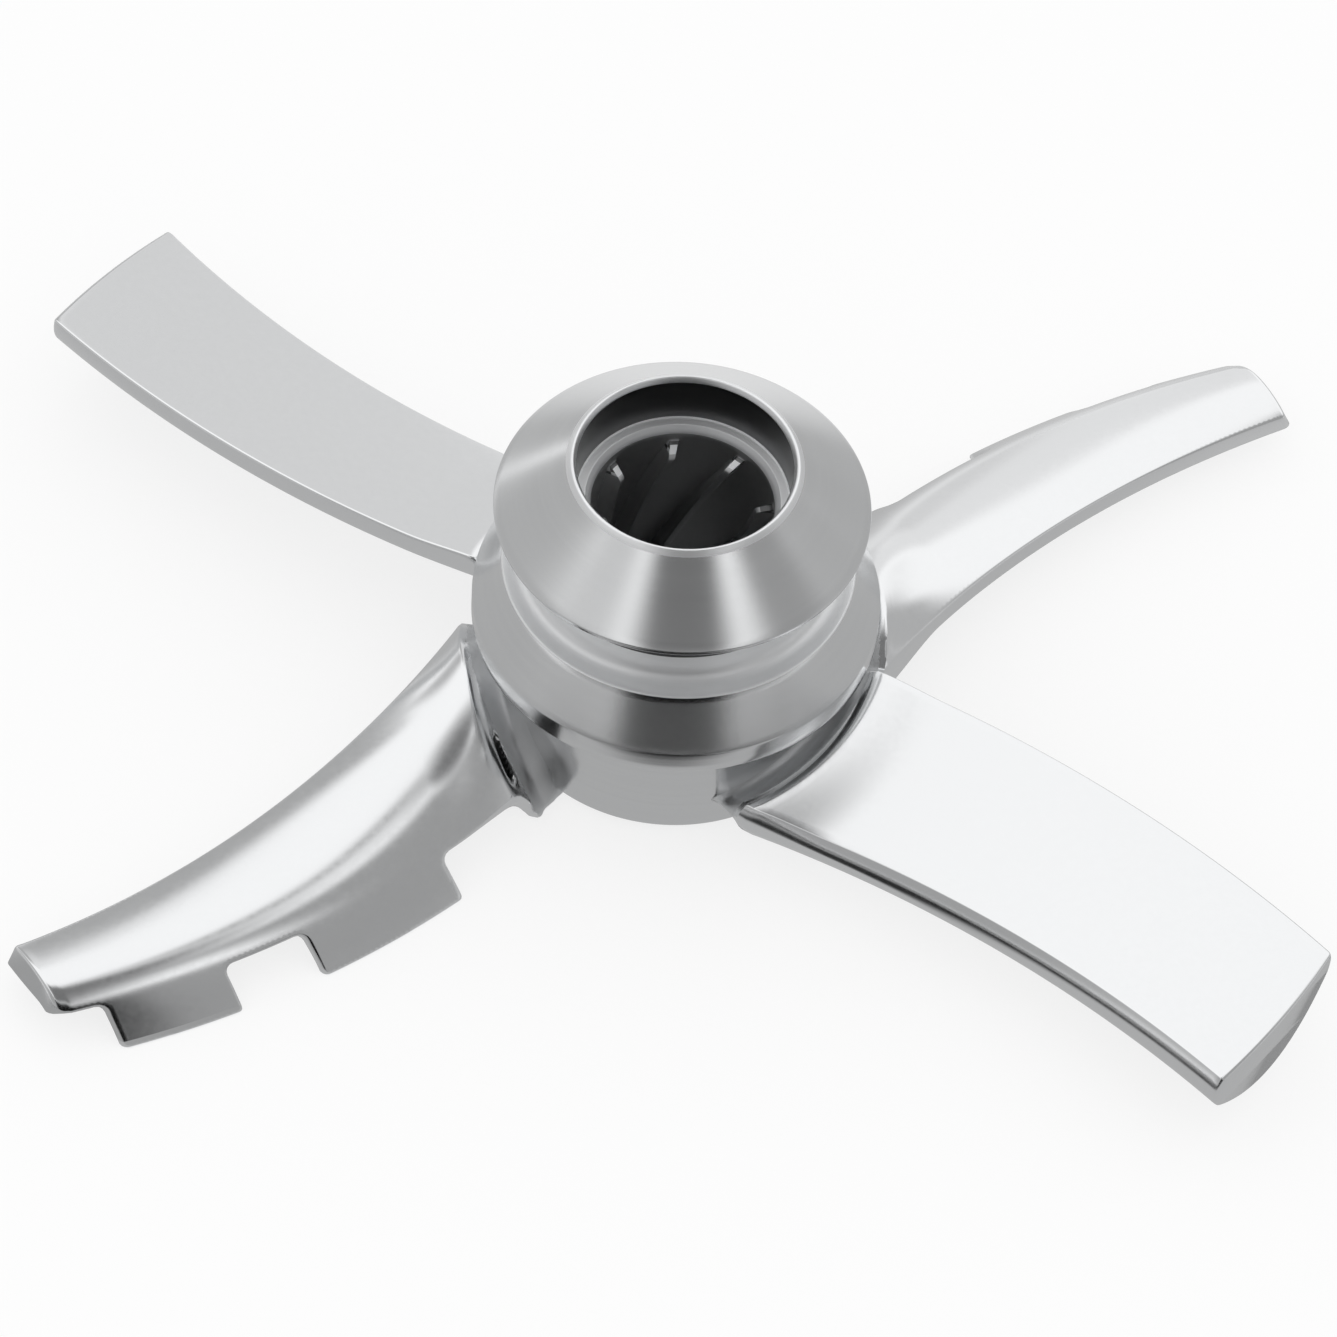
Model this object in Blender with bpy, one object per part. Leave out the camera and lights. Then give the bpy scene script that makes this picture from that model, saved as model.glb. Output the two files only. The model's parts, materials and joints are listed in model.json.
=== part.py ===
"""Ice cream maker paddle, cast and turned in one piece of stainless steel.

Metres, +Z up along the spindle. The origin is on the axis, at the level on which the teeth stand.
The hub is turned: two stacked cones with a groove between them and a blind socket with helical
drive ribs. Two flat blades and two toothed blades grow out of its foot. Each blade is lofted
through level arcs about the axis, so that its tip lies on the tip circle.
"""
import math

import bmesh
import bpy

# Blades. A blade's root runs from inside the hub's wall out over a pit, a ridge, a groove and a crest
TIP_RADIUS = 0.0400
ROOT_OVERLAP = 0.0009
PIT_RUN = 0.0002
PIT_DEPTH = 0.0013
RIDGE_RUN = 0.00075
RIDGE_DEPTH = 0.0007
GROOVE_RUN = 0.00055
GROOVE_DEPTH = 0.0011
CREST_RUN = 0.0009
CREST_RISE = 0.00025
CREST_FADE = 0.0040
ROOT_FLARE = 0.0018
FLARE_OVERLAP = 0.0001
TEETH_CLEARANCE = 0.0005

# Flat blades: both long edges are arcs about one centre
FLAT_CENTRE_X = -0.0176
FLAT_CENTRE_Y = -0.0733
FLAT_INNER_ARC = 0.0665
FLAT_WIDTH = 0.0095
FLAT_HIGH_ROOT = 0.0070
FLAT_HIGH_TIP = 0.0061
FLAT_LOW_ROOT = 0.0043
FLAT_LOW_TIP = 0.0052
FLAT_HIGH_WALL = 0.0014
FLAT_LOW_WALL_ROOT = 0.0020
FLAT_LOW_WALL_TIP = 0.0024
FLAT_HIGH_BULGE = 0.00015
FLAT_LOW_BULGE = 0.00050
FLAT_BELLY_ROOT = 0.0012
FLAT_BELLY_TIP = 0.0020

# Toothed blades: the smooth edge and the gap edge are arcs of one radius
SMOOTH_CENTRE_X = 0.0608
SMOOTH_CENTRE_Y = -0.0277
GAP_CENTRE_X = 0.0505
GAP_CENTRE_Y = -0.0272
TOOTHED_ARC = 0.0562
SMOOTH_HIGH = 0.0043
SMOOTH_LOW = 0.00215
GAP_HEIGHT = 0.00175
SMOOTH_CURVE = 1.8
CROWN_TIP = 0.0003
CROWN_ROOT = 0.0026
CROWN_CURVE = 3.2
SMOOTH_THICK = 0.0013
MID_THICK = 0.0013
EDGE_THICK = 0.0007
ROOT_THICK = 0.0024
ROOT_THICK_RUN = 0.0035
END_SLANT = 0.00055
SHEET_CREST_INNER = -0.0003
SHEET_CREST_OUTER = 0.0009
SHEET_GROOVE_EDGE = 0.6
SHEET_GROOVE_FULL_FROM = 0.25
SHEET_GROOVE_FULL_TO = 0.75
SHEET_GROOVE_FOOT = 0.5

# Teeth, staggered from one blade to the other. The first of each blade grows out of the hub: one is a
# short foot and one runs past the crest. The others' sides are shares of the way from crest to tip.
FOOT_SHORTNESS = 0.0002
HUB_TOOTH_RUN = 0.0061
TEETH_LONG = ((0.207, 0.516), (0.677, 0.902))
TEETH_SHORT = ((0.460, 0.663), (0.832, 1.0))
FOOT_HEIGHT = 0.00015
TOOTH_FILLET = 0.0008
FOLD_LEAD = 0.0003
HUB_LEAD = 0.0006
FOLD_LENGTH = 0.0016
FOLD_ANGLE = 82.0
FOLD_POINTS = 40

# Hub, from its lower face up
WALL_RADIUS = 0.0091
FOOT_CHAMFER = 0.0005
LAND_RADIUS = 0.0109
LAND_LOW = 0.00735
LAND_HIGH = 0.0086
LAND_ROUND = 0.00025
SHELF_RADIUS = 0.0094
SHELF_HEIGHT = 0.0119
NECK_RADIUS = 0.0080
NECK_ROUND = 0.00045
NECK_TOP = 0.0142
CONE_RADIUS = 0.00995
CONE_UNDERCUT = 0.0011
CONE_LOW = 0.0161
CONE_HIGH = 0.0163
CONE_ROUND = 0.0001
LIP_OUTER = 0.0061
LIP_CREST = 0.00585
LIP_INNER = 0.0054
HUB_HEIGHT = 0.0199
LIP_DROP = 0.00035

# Socket
MOUTH_RADIUS = 0.0054
SHELF_DEPTH = 0.0031
SEAT_RADIUS = 0.00515
SPLINE_RADIUS = 0.00485
LEAD_IN = 0.0004
SPLINE_FLOOR = 0.0030
FLOOR_RADIUS = 0.0036
FLOOR_CHAMFER = 0.0003
RIB_COUNT = 8
RIB_TIP_RADIUS = 0.0039
RIB_BASE_WIDTH = 0.0007
RIB_TIP_WIDTH = 0.0004
RIB_START = 0.0004
RIB_RAMP = 0.0007
RIB_FIRST_ANGLE = 7.0
HELIX_PITCH = 0.057

# Fineness
SHARP_ANGLE = 32.0
CREST_SHARES = (0.35, 0.7, 1.0)
STEPS_PER_RIB = 8
SPLINE_STEPS = 7
BLADE_STEP = 0.0019
FLAT_STATIONS = 15
TOP_STEPS = 4
BELLY_STEPS = 7
FILLET_STEPS = 4
SIDE_STEPS = 3
SHEET_STEPS = 6
FOLD_STEPS = 7
FOLD_BIAS = 1.3

# Worked out from the sizes above
HUB_BASE = TEETH_CLEARANCE
ROOT_RADIUS = WALL_RADIUS - ROOT_OVERLAP
ROOT_FLARE_END = WALL_RADIUS - FLARE_OVERLAP
PIT_RADIUS = WALL_RADIUS + PIT_RUN
RIDGE_RADIUS = PIT_RADIUS + RIDGE_RUN
GROOVE_RADIUS = RIDGE_RADIUS + GROOVE_RUN
CREST_RADIUS = GROOVE_RADIUS + CREST_RUN
FOOT_END = CREST_RADIUS - FOOT_SHORTNESS
HUB_TOOTH_END = CREST_RADIUS + HUB_TOOTH_RUN


def clear_scene():
    """Removes whatever the file starts with."""
    for item in list(bpy.data.objects):
        bpy.data.objects.remove(item, do_unlink=True)


def mix(a, b, share):
    """The value that lies the given share of the way from a to b."""
    return a + (b - a) * share


def ease(start, end, value):
    """Goes smoothly from 0 at start to 1 at end."""
    share = min(max((value - start) / (end - start), 0.0), 1.0)
    return share * share * (3.0 - 2.0 * share)


def arc_azimuth(centre_x, centre_y, arc_radius, radius):
    """Azimuth at which an arc of a blade's outline crosses the circle of the given radius."""
    reach = math.hypot(centre_x, centre_y)
    cosine = (reach ** 2 + radius ** 2 - arc_radius ** 2) / (2.0 * reach * radius)
    return math.atan2(centre_y, centre_x) + math.acos(min(max(cosine, -1.0), 1.0))


def root_rise(radius):
    """Rise of a blade's top at its root: a crest, a groove behind it, a ridge, and a pit at the hub."""
    if radius > CREST_RADIUS:
        return CREST_RISE * (1.0 - ease(CREST_RADIUS, CREST_RADIUS + CREST_FADE, radius))
    if radius > GROOVE_RADIUS:
        return mix(-GROOVE_DEPTH, CREST_RISE, ease(GROOVE_RADIUS, CREST_RADIUS, radius))
    if radius > RIDGE_RADIUS:
        return mix(-RIDGE_DEPTH, -GROOVE_DEPTH, ease(RIDGE_RADIUS, GROOVE_RADIUS, radius))
    return mix(-PIT_DEPTH, -RIDGE_DEPTH, ease(PIT_RADIUS, RIDGE_RADIUS, radius))


def root_flare(radius):
    """How far a flat blade's low side runs out into the hub's wall, as a quarter of an ellipse."""
    inward = min(max((CREST_RADIUS - radius) / (CREST_RADIUS - ROOT_FLARE_END), 0.0), 1.0)
    return ROOT_FLARE * (1.0 - math.sqrt(1.0 - inward ** 2))


def loft(name, loops):
    """One closed body through loops of equally many points, with both ends capped."""
    mesh = bpy.data.meshes.new(name)
    shape = bmesh.new()
    rings = [[shape.verts.new(point) for point in loop] for loop in loops]
    for first, second in zip(rings, rings[1:]):
        count = len(first)
        for i in range(count):
            j = (i + 1) % count
            shape.faces.new((first[i], first[j], second[j], second[i]))
    shape.faces.new(rings[0])
    shape.faces.new(rings[-1])
    bmesh.ops.remove_doubles(shape, verts=shape.verts, dist=1e-7)
    bmesh.ops.recalc_face_normals(shape, faces=shape.faces)
    shape.to_mesh(mesh)
    shape.free()
    body = bpy.data.objects.new(name, mesh)
    bpy.context.scene.collection.objects.link(body)
    return body


def polar(radius, azimuth, height):
    """A point from its radius, azimuth and height."""
    return (radius * math.cos(azimuth), radius * math.sin(azimuth), height)


def spread(start, end, step):
    """Values from start to end, about one step apart, both ends included."""
    count = max(2, round((end - start) / step) + 1)
    return [mix(start, end, i / (count - 1)) for i in range(count)]


def root_stations():
    """Radii at which the root's pit, ridge, groove and crest need a section."""
    inner = [ROOT_RADIUS, ROOT_FLARE_END, PIT_RADIUS, mix(PIT_RADIUS, RIDGE_RADIUS, 0.5), RIDGE_RADIUS]
    return inner + [GROOVE_RADIUS] + [mix(GROOVE_RADIUS, CREST_RADIUS, share) for share in CREST_SHARES]


def flat_section(radius):
    """Section of a flat blade along the level arc of the given radius."""
    outside = max(radius, CREST_RADIUS)
    low_azimuth = arc_azimuth(FLAT_CENTRE_X, FLAT_CENTRE_Y, FLAT_INNER_ARC, outside)
    high_azimuth = arc_azimuth(FLAT_CENTRE_X, FLAT_CENTRE_Y, FLAT_INNER_ARC + FLAT_WIDTH, outside)
    outward = (outside - CREST_RADIUS) / (TIP_RADIUS - CREST_RADIUS)
    low_height = mix(FLAT_LOW_ROOT, FLAT_LOW_TIP, outward ** 2)
    high_height = mix(FLAT_HIGH_ROOT, FLAT_HIGH_TIP, outward)
    low_wall = mix(FLAT_LOW_WALL_ROOT, FLAT_LOW_WALL_TIP, outward)
    full_belly = mix(FLAT_BELLY_ROOT, FLAT_BELLY_TIP, outward)
    low_side = low_azimuth - root_flare(radius) / radius

    def point(across, beyond, depth):
        azimuth = mix(low_side, high_azimuth, across) + beyond / radius
        rise = root_rise(radius) * max(1.0 - depth / low_wall, 0.0)
        height = mix(low_height, high_height, across) + rise - depth
        return polar(radius, azimuth, HUB_BASE + height)

    loop = [point(i / TOP_STEPS, 0.0, 0.0) for i in range(TOP_STEPS)]
    for i in range(SIDE_STEPS):
        share = i / SIDE_STEPS
        loop.append(point(1.0, FLAT_HIGH_BULGE * math.sin(math.pi * share), FLAT_HIGH_WALL * share))
    for i in range(BELLY_STEPS):
        across = 1.0 - i / BELLY_STEPS
        belly = 4.0 * full_belly * across * (1.0 - across)
        loop.append(point(across, 0.0, mix(low_wall, FLAT_HIGH_WALL, across) + belly))
    for i in range(SIDE_STEPS):
        share = 1.0 - i / SIDE_STEPS
        loop.append(point(0.0, -FLAT_LOW_BULGE * math.sin(math.pi * share), low_wall * share))
    return loop


def flat_blade(name):
    """A pitched blade with a flat top and a full belly."""
    outer = spread(CREST_RADIUS, TIP_RADIUS, (TIP_RADIUS - CREST_RADIUS) / FLAT_STATIONS)
    return loft(name, [flat_section(radius) for radius in root_stations() + outer[1:]])


def teeth_radii(hub_tooth_end, shares):
    """Each tooth's inner and outer radius. A tooth at the tip leaves room there for its fillet."""
    teeth = [(0.0, hub_tooth_end)]
    for inner, outer in shares:
        inner_radius = mix(CREST_RADIUS, TIP_RADIUS, inner)
        outer_radius = mix(CREST_RADIUS, TIP_RADIUS, outer)
        teeth.append((inner_radius, min(outer_radius, TIP_RADIUS - TOOTH_FILLET)))
    return teeth


def tooth_share(radius, teeth):
    """1 where a toothed blade keeps its full depth, 0 in a gap, with a fillet at each tooth's side."""
    share = 0.0
    for inner, outer in teeth:
        away = max(inner - radius, radius - outer, 0.0)
        share = max(share, max(1.0 - away / TOOTH_FILLET, 0.0) ** 2)
    return share


def sheet_root(radius, along):
    """Rise of a toothed blade's top at its root. The groove runs outwards as it nears the gap edge."""
    edge = mix(SHEET_GROOVE_EDGE, 1.0, ease(0.0, SHEET_GROOVE_FULL_FROM, along))
    foot = mix(1.0, SHEET_GROOVE_FOOT, ease(SHEET_GROOVE_FULL_TO, 1.0, along))
    return edge * foot * root_rise(radius - mix(SHEET_CREST_INNER, SHEET_CREST_OUTER, along))


def sheet_line(radius, level):
    """Top of a toothed blade as (distance across, height, downward angle): its sheet, then its fold."""
    outside = max(radius, CREST_RADIUS)
    smooth_azimuth = arc_azimuth(SMOOTH_CENTRE_X, SMOOTH_CENTRE_Y, TOOTHED_ARC, outside)
    gap_azimuth = arc_azimuth(GAP_CENTRE_X, GAP_CENTRE_Y, TOOTHED_ARC, outside)
    width = radius * (gap_azimuth - smooth_azimuth)
    inward = (TIP_RADIUS - outside) / (TIP_RADIUS - CREST_RADIUS)
    fall = mix(SMOOTH_LOW, SMOOTH_HIGH, inward ** SMOOTH_CURVE) - GAP_HEIGHT
    crown = mix(CROWN_TIP, CROWN_ROOT, inward ** CROWN_CURVE)

    sheet = []
    for i in range(SHEET_STEPS + 1):
        along = i / SHEET_STEPS
        rise = fall * (1.0 - along) + 4.0 * crown * along * (1.0 - along)
        angle = math.atan((fall - 4.0 * crown * (1.0 - 2.0 * along)) / width)
        sheet.append((width * along, GAP_HEIGHT + rise + sheet_root(radius, along), angle))

    # The fold starts with the angle of the sheet's edge and turns down, then runs straight to the level
    start_angle = sheet[-1][2]
    lead = FOLD_LEAD + HUB_LEAD * (1.0 - ease(FOOT_END, HUB_TOOTH_END, radius))
    step = FOLD_LENGTH / FOLD_POINTS
    path = [sheet[-1]]
    while path[-1][1] > level:
        across, height, angle = path[-1]
        turned = ease(0.0, FOLD_LENGTH, step * len(path) - lead)
        down = mix(start_angle, math.radians(FOLD_ANGLE), turned)
        path.append((across + step * math.cos(angle), height - step * math.sin(angle), down))
    return smooth_azimuth, sheet, path


def sheet_section(radius, teeth):
    """Section of a toothed blade along the level arc of the given radius."""
    level = mix(FOOT_HEIGHT, -TEETH_CLEARANCE, ease(FOOT_END, FOOT_END + TOOTH_FILLET, radius))
    azimuth, sheet, path = sheet_line(radius, level)
    reach = tooth_share(radius, teeth) * (len(path) - 1)
    line = sheet + [path[round(reach * (i / FOLD_STEPS) ** FOLD_BIAS)] for i in range(1, FOLD_STEPS + 1)]
    root = 1.0 - ease(CREST_RADIUS, CREST_RADIUS + ROOT_THICK_RUN, radius)
    slant = max(radius - TIP_RADIUS + 2.0 * END_SLANT, 0.0) / 2.0

    top = []
    under = []
    for i, (across, height, angle) in enumerate(line):
        along = min(i / SHEET_STEPS, 1.0)
        middle = MID_THICK - mix(SMOOTH_THICK, EDGE_THICK, 0.5)
        thick = mix(SMOOTH_THICK, EDGE_THICK, along) + 4.0 * middle * along * (1.0 - along)
        drop = thick + (ROOT_THICK - MID_THICK) * root
        top.append(polar(radius - slant, azimuth + across / radius, HUB_BASE + height))
        below = max(height - drop * math.cos(angle), level)
        under.append((across - thick * math.sin(angle) * along, below))

    # Inside the fold the underside runs straight from the sheet to the end of the fold
    first = under[SHEET_STEPS]
    last = under[-1]
    for i in range(1, FOLD_STEPS):
        share = i / FOLD_STEPS
        under[SHEET_STEPS + i] = (mix(first[0], last[0], share), mix(first[1], last[1], share))
    under = [polar(radius, azimuth + across / radius, HUB_BASE + height) for across, height in under]
    return top + under[::-1]


def toothed_stations(teeth):
    """Radii of a toothed blade's sections, closer together at the sides of the teeth."""
    foot_end = teeth[0][1]
    spans = [(foot_end, foot_end + TOOTH_FILLET)]
    for inner, outer in teeth[1:]:
        spans += [(inner - TOOTH_FILLET, inner), (outer, outer + TOOTH_FILLET)]
    stations = [radius for radius in root_stations() if radius < foot_end - 0.5 * TOOTH_FILLET]
    start = stations[-1]
    for low, high in spans:
        stations += spread(start, low, BLADE_STEP)[1:-1]
        stations += [mix(low, high, i / FILLET_STEPS) for i in range(FILLET_STEPS + 1)]
        start = high
    return stations + spread(start, TIP_RADIUS, BLADE_STEP)[1:]


def toothed_blade(name, teeth):
    """A rolled sheet with teeth along its lower edge and a foot against the hub."""
    return loft(name, [sheet_section(radius, teeth) for radius in toothed_stations(teeth)])


def hub_outline():
    """The hub's outside from its lower face to the crest of its lip, as (radius, height)."""
    return [
        (WALL_RADIUS - FOOT_CHAMFER, 0.0),
        (WALL_RADIUS, FOOT_CHAMFER),
        (WALL_RADIUS, LAND_LOW),
        (LAND_RADIUS - LAND_ROUND, LAND_LOW),
        (LAND_RADIUS, LAND_LOW + LAND_ROUND),
        (LAND_RADIUS, LAND_HIGH - LAND_ROUND),
        (LAND_RADIUS - LAND_ROUND, LAND_HIGH + LAND_ROUND),
        (SHELF_RADIUS, SHELF_HEIGHT),
        (NECK_RADIUS + NECK_ROUND, SHELF_HEIGHT),
        (NECK_RADIUS, SHELF_HEIGHT + NECK_ROUND),
        (NECK_RADIUS, NECK_TOP),
        (CONE_RADIUS - CONE_UNDERCUT, mix(NECK_TOP, CONE_LOW, 0.5)),
        (CONE_RADIUS, CONE_LOW),
        (CONE_RADIUS, CONE_HIGH - CONE_ROUND),
        (CONE_RADIUS - CONE_ROUND, CONE_HIGH + CONE_ROUND),
        (LIP_OUTER, HUB_HEIGHT - LIP_DROP),
        (LIP_CREST, HUB_HEIGHT),
    ]


def socket_outline():
    """The socket from the lip down to the start of its ribs, as (radius, height)."""
    seat = HUB_HEIGHT - SHELF_DEPTH
    return [
        (LIP_INNER, HUB_HEIGHT - LIP_DROP),
        (MOUTH_RADIUS, seat),
        (SEAT_RADIUS, seat),
        (SPLINE_RADIUS, seat - LEAD_IN),
    ]


def socket_angles():
    """Angles of one rib and the wall after it: the rib's foot and tip on each side, then the wall."""
    foot = RIB_BASE_WIDTH / 2.0 / SPLINE_RADIUS
    tip = RIB_TIP_WIDTH / 2.0 / RIB_TIP_RADIUS
    wall_steps = STEPS_PER_RIB - 3
    wall = 2.0 * math.pi / RIB_COUNT - 2.0 * foot
    return [-foot, -tip, tip, foot] + [foot + wall * i / wall_steps for i in range(1, wall_steps)]


def hub(name):
    """The turned hub with its ribbed socket, one body made row by row."""
    count = RIB_COUNT * STEPS_PER_RIB
    period = 2.0 * math.pi / RIB_COUNT
    first = math.radians(RIB_FIRST_ANGLE)
    even = [first + period / STEPS_PER_RIB * (i - 1.5) for i in range(count)]
    rows = [[polar(r, a, HUB_BASE + z) for a in even] for r, z in hub_outline() + socket_outline()]

    rib_top = HUB_HEIGHT - SHELF_DEPTH - LEAD_IN - RIB_START
    ramp_end = rib_top - RIB_RAMP
    rib_end = SPLINE_FLOOR + FLOOR_CHAMFER
    heights = [rib_top] + [mix(ramp_end, rib_end, i / SPLINE_STEPS) for i in range(SPLINE_STEPS + 1)]
    for row, height in enumerate(heights):
        tip_radius = SPLINE_RADIUS if row == 0 else RIB_TIP_RADIUS
        twist = 2.0 * math.pi * (rib_top - height) / HELIX_PITCH
        ring = []
        for rib in range(RIB_COUNT):
            for i, angle in enumerate(socket_angles()):
                radius = tip_radius if i in (1, 2) else SPLINE_RADIUS
                ring.append(polar(radius, first + rib * period + angle + twist, HUB_BASE + height))
        rows.append(ring)

    # The socket's bottom corner is chamfered down to a plain round floor, clear of the ribs
    last_twist = 2.0 * math.pi * (rib_top - rib_end) / HELIX_PITCH
    rows.append([polar(FLOOR_RADIUS, angle + last_twist, HUB_BASE + SPLINE_FLOOR) for angle in even])
    return loft(name, rows)


def half_turn(body):
    """Turns a body by half a turn about the axis, in its mesh."""
    for vertex in body.data.vertices:
        vertex.co.x, vertex.co.y = -vertex.co.x, -vertex.co.y


def join(body, others):
    """Unites the bodies with exact Booleans and removes the ones that were added."""
    bpy.context.view_layer.objects.active = body
    for other in others:
        union = body.modifiers.new("Join " + other.name, "BOOLEAN")
        union.operation = "UNION"
        union.solver = "EXACT"
        union.object = other
        bpy.ops.object.modifier_apply(modifier=union.name)
        bpy.data.objects.remove(other, do_unlink=True)


def steel():
    """Polished stainless steel."""
    material = bpy.data.materials.new("stainless_steel")
    material.use_nodes = True
    shader = material.node_tree.nodes["Principled BSDF"]
    shader.inputs["Base Color"].default_value = (0.74, 0.74, 0.75, 1.0)
    shader.inputs["Metallic"].default_value = 1.0
    shader.inputs["Roughness"].default_value = 0.22
    return material


def build():
    """Makes the paddle."""
    clear_scene()
    paddle = hub("paddle")
    blades = [
        flat_blade("flat_front"),
        flat_blade("flat_back"),
        toothed_blade("toothed_back", teeth_radii(HUB_TOOTH_END, TEETH_SHORT)),
        toothed_blade("toothed_front", teeth_radii(FOOT_END, TEETH_LONG)),
    ]
    half_turn(blades[1])
    half_turn(blades[3])
    join(paddle, blades)
    paddle.data.materials.append(steel())
    paddle.data.shade_smooth()
    paddle.data.set_sharp_from_angle(angle=math.radians(SHARP_ANGLE))


build()
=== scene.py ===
"""The looks of the ice cream maker paddle: a turned satin hub and polished cast blades."""

import json
import math

import bmesh
import bpy
from mathutils import Matrix, Vector
from mathutils.geometry import delaunay_2d_cdt


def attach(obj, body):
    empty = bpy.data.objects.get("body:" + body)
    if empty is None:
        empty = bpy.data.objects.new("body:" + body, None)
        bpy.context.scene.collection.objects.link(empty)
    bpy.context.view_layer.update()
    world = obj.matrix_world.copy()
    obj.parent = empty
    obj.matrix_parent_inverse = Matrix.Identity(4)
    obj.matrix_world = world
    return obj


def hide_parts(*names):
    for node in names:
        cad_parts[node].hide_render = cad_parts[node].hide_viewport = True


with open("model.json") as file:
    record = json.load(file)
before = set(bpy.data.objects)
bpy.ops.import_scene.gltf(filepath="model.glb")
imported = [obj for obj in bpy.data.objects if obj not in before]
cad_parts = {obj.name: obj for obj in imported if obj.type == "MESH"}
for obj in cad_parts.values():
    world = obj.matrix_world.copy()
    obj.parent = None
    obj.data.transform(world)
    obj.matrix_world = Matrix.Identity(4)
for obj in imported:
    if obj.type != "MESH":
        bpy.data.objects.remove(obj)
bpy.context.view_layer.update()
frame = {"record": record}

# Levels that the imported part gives, metres
MOUNTS = {mount["name"]: mount["pos_m"] for mount in frame["record"]["mounts"]}
HUB_BASE = MOUNTS["hub_base"][2]
SPLINE_FLOOR = MOUNTS["socket_floor"][2] - HUB_BASE
HUB_HEIGHT = MOUNTS["drive_socket"][2] - HUB_BASE

# Blades
TIP_RADIUS = 0.0400
ROOT_RADIUS = 0.0082
CREST_RADIUS = 0.0115
CREST_RISE = 0.00025
CREST_FOOT = 0.0155
PIT_RADIUS = 0.0093
PIT_DEPTH = 0.0013
ROOT_FLARE = 0.0009
ROOT_FLARE_END = 0.0090

# Flat blades: both long edges are arcs about one centre
FLAT_CENTRE_X = -0.0176
FLAT_CENTRE_Y = -0.0733
FLAT_INNER_ARC = 0.0665
FLAT_WIDTH = 0.0095
FLAT_HIGH_ROOT = 0.0070
FLAT_HIGH_TIP = 0.0061
FLAT_LOW_ROOT = 0.0043
FLAT_LOW_TIP = 0.0052
FLAT_HIGH_WALL = 0.0014
FLAT_LOW_WALL_ROOT = 0.0020
FLAT_LOW_WALL_TIP = 0.0024
FLAT_HIGH_BULGE = 0.00015
FLAT_LOW_BULGE = 0.00050
FLAT_BELLY_ROOT = 0.0012
FLAT_BELLY_TIP = 0.0020
FLAT_TOP_ROUND = 0.00014
FLAT_UNDER_ROUND = 0.00035
FLAT_END_ROUND = 0.00022

# Toothed blades: the smooth edge and the gap edge are arcs of one radius
SMOOTH_CENTRE_X = 0.0608
SMOOTH_CENTRE_Y = -0.0277
GAP_CENTRE_X = 0.0505
GAP_CENTRE_Y = -0.0272
TOOTHED_ARC = 0.0562
SMOOTH_HIGH = 0.0043
SMOOTH_LOW = 0.00215
GAP_HEIGHT = 0.00175
SMOOTH_CURVE = 1.8
CROWN_TIP = 0.00075
CROWN_ROOT = 0.0026
CROWN_CURVE = 5.0
SHOULDER = 0.0031
SMOOTH_THICK = 0.0013
MID_THICK = 0.0013
EDGE_THICK = 0.0007
FOLD_THICK = 0.0005
ROOT_THICK = 0.0024
ROOT_THICK_RADIUS = 0.0150
END_SLANT = 0.00055

# Root of a toothed blade: the crest's shift, and how much of the pit is left from edge to edge
SHEET_CREST_INNER = -0.0003
SHEET_CREST_OUTER = 0.0009
SHEET_PIT_FULL = 0.55
SHEET_PIT_FADE = 0.75
SHEET_PIT_FOOT = 0.6
SHEET_WARP_END = 0.0150

# Slit at the root of a toothed blade, from one share across to another, with painted shade where it is
# deep enough
SLIT_PLACE = 0.01075
SLIT_HALF = 0.00028
SLIT_START = 0.72
SLIT_END = 0.95
SLIT_DEPTH = 0.0008
SLIT_FULL = 0.3
SLIT_SHADE = 0.2

# Teeth as (inner radius, outer radius), staggered from one blade to the other, the first at the hub
FOOT_END = 0.0113
HUB_TOOTH_END = 0.0176
TEETH_LONG = ((0.0, FOOT_END), (0.0174, 0.0262), (0.0308, 0.0372))
TEETH_SHORT = ((0.0, HUB_TOOTH_END), (0.0246, 0.0304), (0.0352, 0.0392))
FOOT_BLEND = 0.0008
FOOT_HEIGHT = 0.00015
FOLD_LEAD = -0.0001
HUB_LEAD = 0.0006
FOLD_LENGTH = 0.0023
FOLD_ANGLE = 56.0
FOLD_STEP = 0.00004
GAP_FILLET = 0.0007
TOOTH_CORNER = 0.0002
SHEET_CORNER = 0.0003
RIM_ROUND = 0.00018
SHEET_SPAN = 0.0090

# Hub, from its lower face up
WALL_RADIUS = 0.0091
WALL_ROUND = 0.0003
FOOT_CHAMFER = 0.0005
LAND_RADIUS = 0.0109
LAND_LOW = 0.00735
LAND_HIGH = 0.0086
LAND_ROUND = 0.00025
SHELF_RADIUS = 0.0094
SHELF_HEIGHT = 0.0119
SHELF_ROUND = 0.00012
NECK_RADIUS = 0.0080
NECK_FILLET = 0.0008
NECK_TOP = 0.0142
CONE_RADIUS = 0.00995
CONE_LOW = 0.0161
CONE_HIGH = 0.0163
CONE_ROUND = 0.0001
LIP_OUTER = 0.00625
LIP_OUTER_ROUND = 0.00015
LIP_CREST = 0.00592
LIP_CREST_ROUND = 0.00012
LIP_INNER = 0.0057
LIP_INNER_ROUND = 0.0001
LIP_DROP = 0.00035

# Socket
MOUTH_RADIUS = 0.00565
MOUTH_ROUND = 0.00008
SHELF_DEPTH = 0.0031
SEAT_RADIUS = 0.00515
SEAT_ROUND = 0.00005
SPLINE_RADIUS = 0.00485
LEAD_IN = 0.0004
RIB_COUNT = 8
RIB_TIP_RADIUS = 0.0039
RIB_BASE_WIDTH = 0.0007
RIB_TIP_WIDTH = 0.0004
RIB_START = 0.0004
RIB_RAMP = 0.0007
RIB_FIRST_ANGLE = 7.0
HELIX_PITCH = 0.057

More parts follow.
